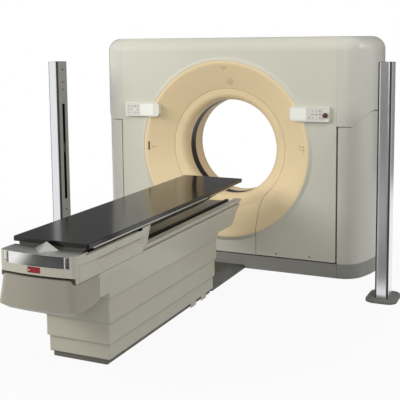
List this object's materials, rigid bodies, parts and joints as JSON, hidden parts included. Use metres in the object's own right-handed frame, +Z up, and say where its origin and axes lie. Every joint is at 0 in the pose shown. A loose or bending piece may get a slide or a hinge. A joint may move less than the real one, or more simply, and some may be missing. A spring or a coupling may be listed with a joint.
{
  "type": "ct scanner",
  "caption": "Wide-bore computed tomography scanner: tilting gantry with a large bore, rising patient couch with a sliding flat top, and laser alignment posts.",
  "frame": {"origin": "floor under the isocentre: the point of the gantry's underside straight below the crossing of the bore axis and the tilt axis", "axes": "+X to the right seen from the couch, +Y from the couch into the bore, +Z up"},
  "size_m": [3.1775, 3.7643, 2.015],
  "materials": {
    "cover_grey": "painted satin, warm light grey",
    "ring_peach": "moulded satin, warm peach",
    "couch_beige": "painted satin, beige grey",
    "plinth_grey": "painted, mid grey",
    "shroud": "powder coated, beige grey",
    "steel": "machined",
    "frame_steel": "painted frame",
    "bearing": "ground",
    "cast": "cast and machined",
    "counterweight": "painted",
    "window": "smoked film",
    "carbon": "polished carbon fibre",
    "cradle_dark": "carbon fibre",
    "chrome": "polished",
    "deck_metal": "satin",
    "rail": "anodised",
    "post": "anodised extrusion",
    "post_foot": "cast and painted",
    "key": "membrane keys",
    "display": "display window",
    "stop_red": "dark red",
    "button_red": "red",
    "lens": "dark lens",
    "laser": "black anodised"
  },
  "bodies": {
    "fixed_base": {"gantry_base": "plinth_grey", "side_cover_left": "cover_grey", "side_cover_right": "cover_grey", "tilt_supports": "frame_steel", "tilt_drive": "frame_steel", "couch_base": "plinth_grey", "shroud_lower": "shroud", "lift_stage_1": "steel", "floor_duct": "plinth_grey", "post_left": "post", "post_right": "post", "post_feet": "post_foot"},
    "gantry_tilting": {"tilt_frame": "frame_steel", "trunnions": "steel", "bearing_outer_ring": "bearing", "front_cover": "cover_grey", "front_low_panel": "cover_grey", "rear_cover": "cover_grey", "corner_cap_left": "cover_grey", "corner_cap_right": "cover_grey", "front_ring": "ring_peach", "front_liner": "ring_peach", "scan_window": "window", "rear_funnel": "ring_peach", "laser_apertures": "lens", "control_panel_left": "cover_grey", "control_panel_right": "cover_grey", "keypads": "key", "displays": "display"},
    "rotor": {"rotor_drum": "cast", "bearing_inner_ring": "bearing", "slip_ring": "bearing", "xray_tube": "cast", "collimator": "cast", "detector_arc": "cast", "high_voltage_tank": "cast", "cooler": "cast", "counterweights": "counterweight"},
    "stop_knob": {"emergency_stop": "stop_red"},
    "shroud_low_stage": {"shroud_middle": "shroud", "lift_stage_2": "steel"},
    "shroud_high_stage": {"shroud_upper": "shroud", "lift_stage_3": "steel"},
    "couch_body": {"couch_frame": "frame_steel", "body_cover": "couch_beige", "side_rails": "rail", "foot_bumper": "couch_beige", "lift_stage_4": "steel", "guide_rails": "steel"},
    "couch_top": {"carriage_frame": "cast", "cradle_saddle": "couch_beige", "cradle": "cradle_dark", "tabletop": "carbon", "edge_rails": "rail", "foot_deck": "deck_metal", "foot_handle": "chrome", "foot_cover": "couch_beige"},
    "release_plate": {"release_button": "button_red"},
    "laser_left": {"laser_carriage_left": "laser"},
    "laser_right": {"laser_carriage_right": "laser"}
  },
  "joints": [
    {"name": "gantry_tilt", "type": "hinge", "parent": "fixed_base", "child": "gantry_tilting", "pos_m": [0, 0, 1.043], "axis": [-1, 0, 0], "range_deg": [-30, 30]},
    {"name": "rotor_spin", "type": "hinge", "parent": "gantry_tilting", "child": "rotor", "pos_m": [0, 0, 1.043], "axis": [0, 1, 0], "continuous": true},
    {"name": "emergency_stop", "type": "slide", "parent": "gantry_tilting", "child": "stop_knob", "axis": [0, 1, 0], "range_m": [0, 0.004]},
    {"name": "couch_lift", "type": "slide", "parent": "fixed_base", "child": "couch_body", "axis": [0, 0, 1], "range_m": [-0.23, 0.15]},
    {"name": "shroud_high", "type": "slide", "parent": "fixed_base", "child": "shroud_high_stage", "axis": [0, 0, 1], "range_m": [-0.154, 0.101]},
    {"name": "shroud_low", "type": "slide", "parent": "fixed_base", "child": "shroud_low_stage", "axis": [0, 0, 1], "range_m": [-0.077, 0.051]},
    {"name": "table_slide", "type": "slide", "parent": "couch_body", "child": "couch_top", "axis": [0, 1, 0], "range_m": [0, 1.6]},
    {"name": "release_button", "type": "slide", "parent": "couch_top", "child": "release_plate", "axis": [0, 1, 0], "range_m": [0, 0.004], "stiffness_N_per_m": 800},
    {"name": "laser_left", "type": "slide", "parent": "fixed_base", "child": "laser_left", "axis": [0, 0, 1], "range_m": [-0.43, 0.36]},
    {"name": "laser_right", "type": "slide", "parent": "fixed_base", "child": "laser_right", "axis": [0, 0, 1], "range_m": [-0.43, 0.36]}
  ],
  "couplings": [
    {"joint": "shroud_high", "follows": "couch_lift", "ratio": 0.66667},
    {"joint": "shroud_low", "follows": "couch_lift", "ratio": 0.33333}
  ]
}
